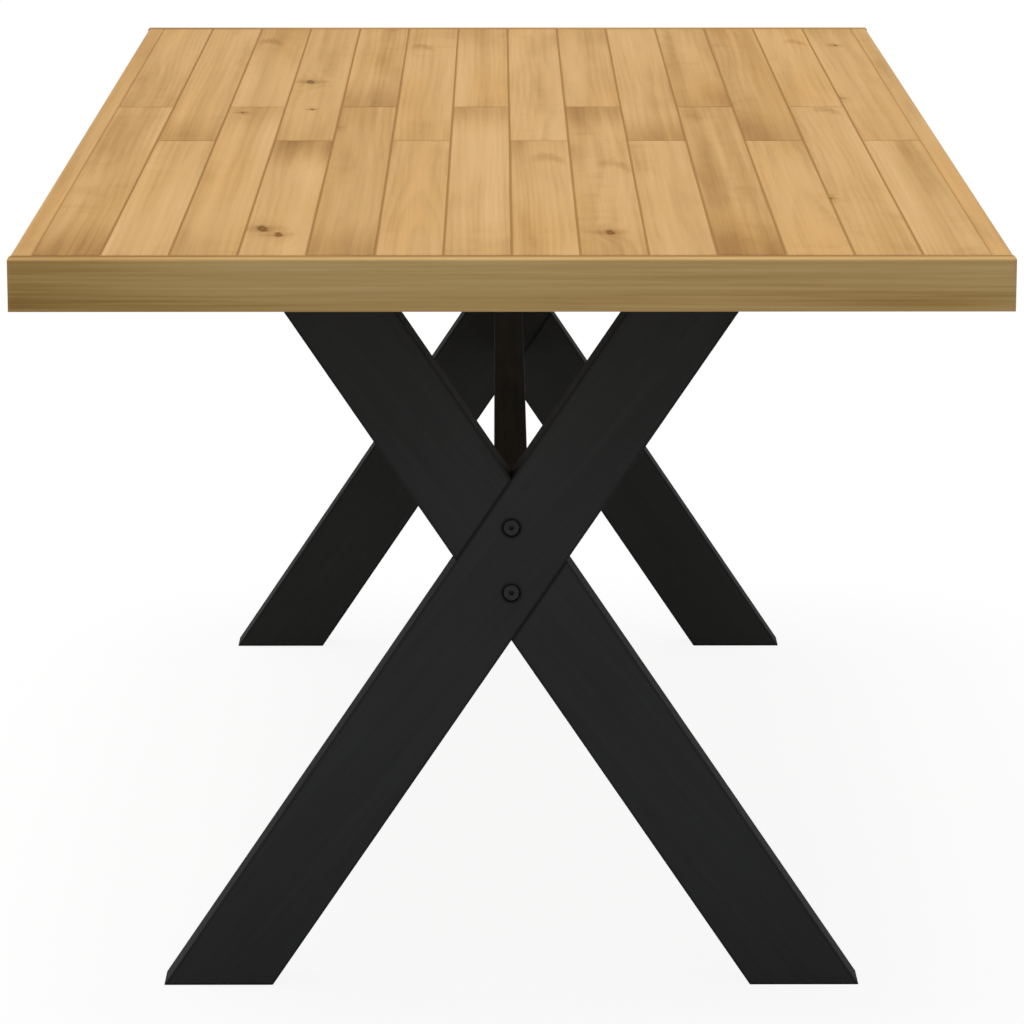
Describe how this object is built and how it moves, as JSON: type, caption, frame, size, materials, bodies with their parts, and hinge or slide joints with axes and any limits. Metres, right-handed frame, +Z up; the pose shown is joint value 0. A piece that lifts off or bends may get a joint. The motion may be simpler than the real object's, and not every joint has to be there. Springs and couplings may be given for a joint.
{
  "type": "sawbuck table",
  "caption": "Rectangular dining table: a boarded pine top with a deep edging on black X-shaped leg frames that a stretcher joins.",
  "frame": {"origin": "centre of the table's outline, on the floor", "axes": "+X to the right seen from the front end, +Y along the table to the rear end, +Z up"},
  "size_m": [0.9, 1.8, 0.74],
  "materials": {
    "pine_boards": "satin oiled pine",
    "pine_edging": "satin oiled pine",
    "pine_battens": "planed pine",
    "black_frame": "matt black paint",
    "black_bolts": "satin black",
    "zinc_steel": "zinc plated"
  },
  "bodies": {
    "root": {"crossing_bolts": "black_bolts", "front_crossbar": "black_frame", "front_end_board": "pine_edging", "front_joint_batten": "pine_battens", "front_left_leg": "black_frame", "front_right_leg": "black_frame", "left_side_rail": "pine_edging", "leg_screws": "zinc_steel", "rear_crossbar": "black_frame", "rear_end_board": "pine_edging", "rear_joint_batten": "pine_battens", "rear_left_leg": "black_frame", "rear_right_leg": "black_frame", "right_side_rail": "pine_edging", "stretcher": "black_frame", "stretcher_barrel_nuts": "zinc_steel", "top_board_01_front": "pine_boards", "top_board_01_rear": "pine_boards", "top_board_02_front": "pine_boards", "top_board_02_rear": "pine_boards", "top_board_03_front": "pine_boards", "top_board_03_rear": "pine_boards", "top_board_04_front": "pine_boards", "top_board_04_rear": "pine_boards", "top_board_05_front": "pine_boards", "top_board_05_rear": "pine_boards", "top_board_06_front": "pine_boards", "top_board_06_rear": "pine_boards", "top_board_07_front": "pine_boards", "top_board_07_rear": "pine_boards", "top_board_08_front": "pine_boards", "top_board_08_rear": "pine_boards", "top_board_09_front": "pine_boards", "top_board_09_rear": "pine_boards", "top_board_10_front": "pine_boards", "top_board_10_rear": "pine_boards", "top_board_11_front": "pine_boards", "top_board_11_rear": "pine_boards", "top_board_12_front": "pine_boards", "top_board_12_rear": "pine_boards", "top_board_13_front": "pine_boards", "top_board_13_rear": "pine_boards", "top_board_14_front": "pine_boards", "top_board_14_rear": "pine_boards"}
  },
  "joints": []
}
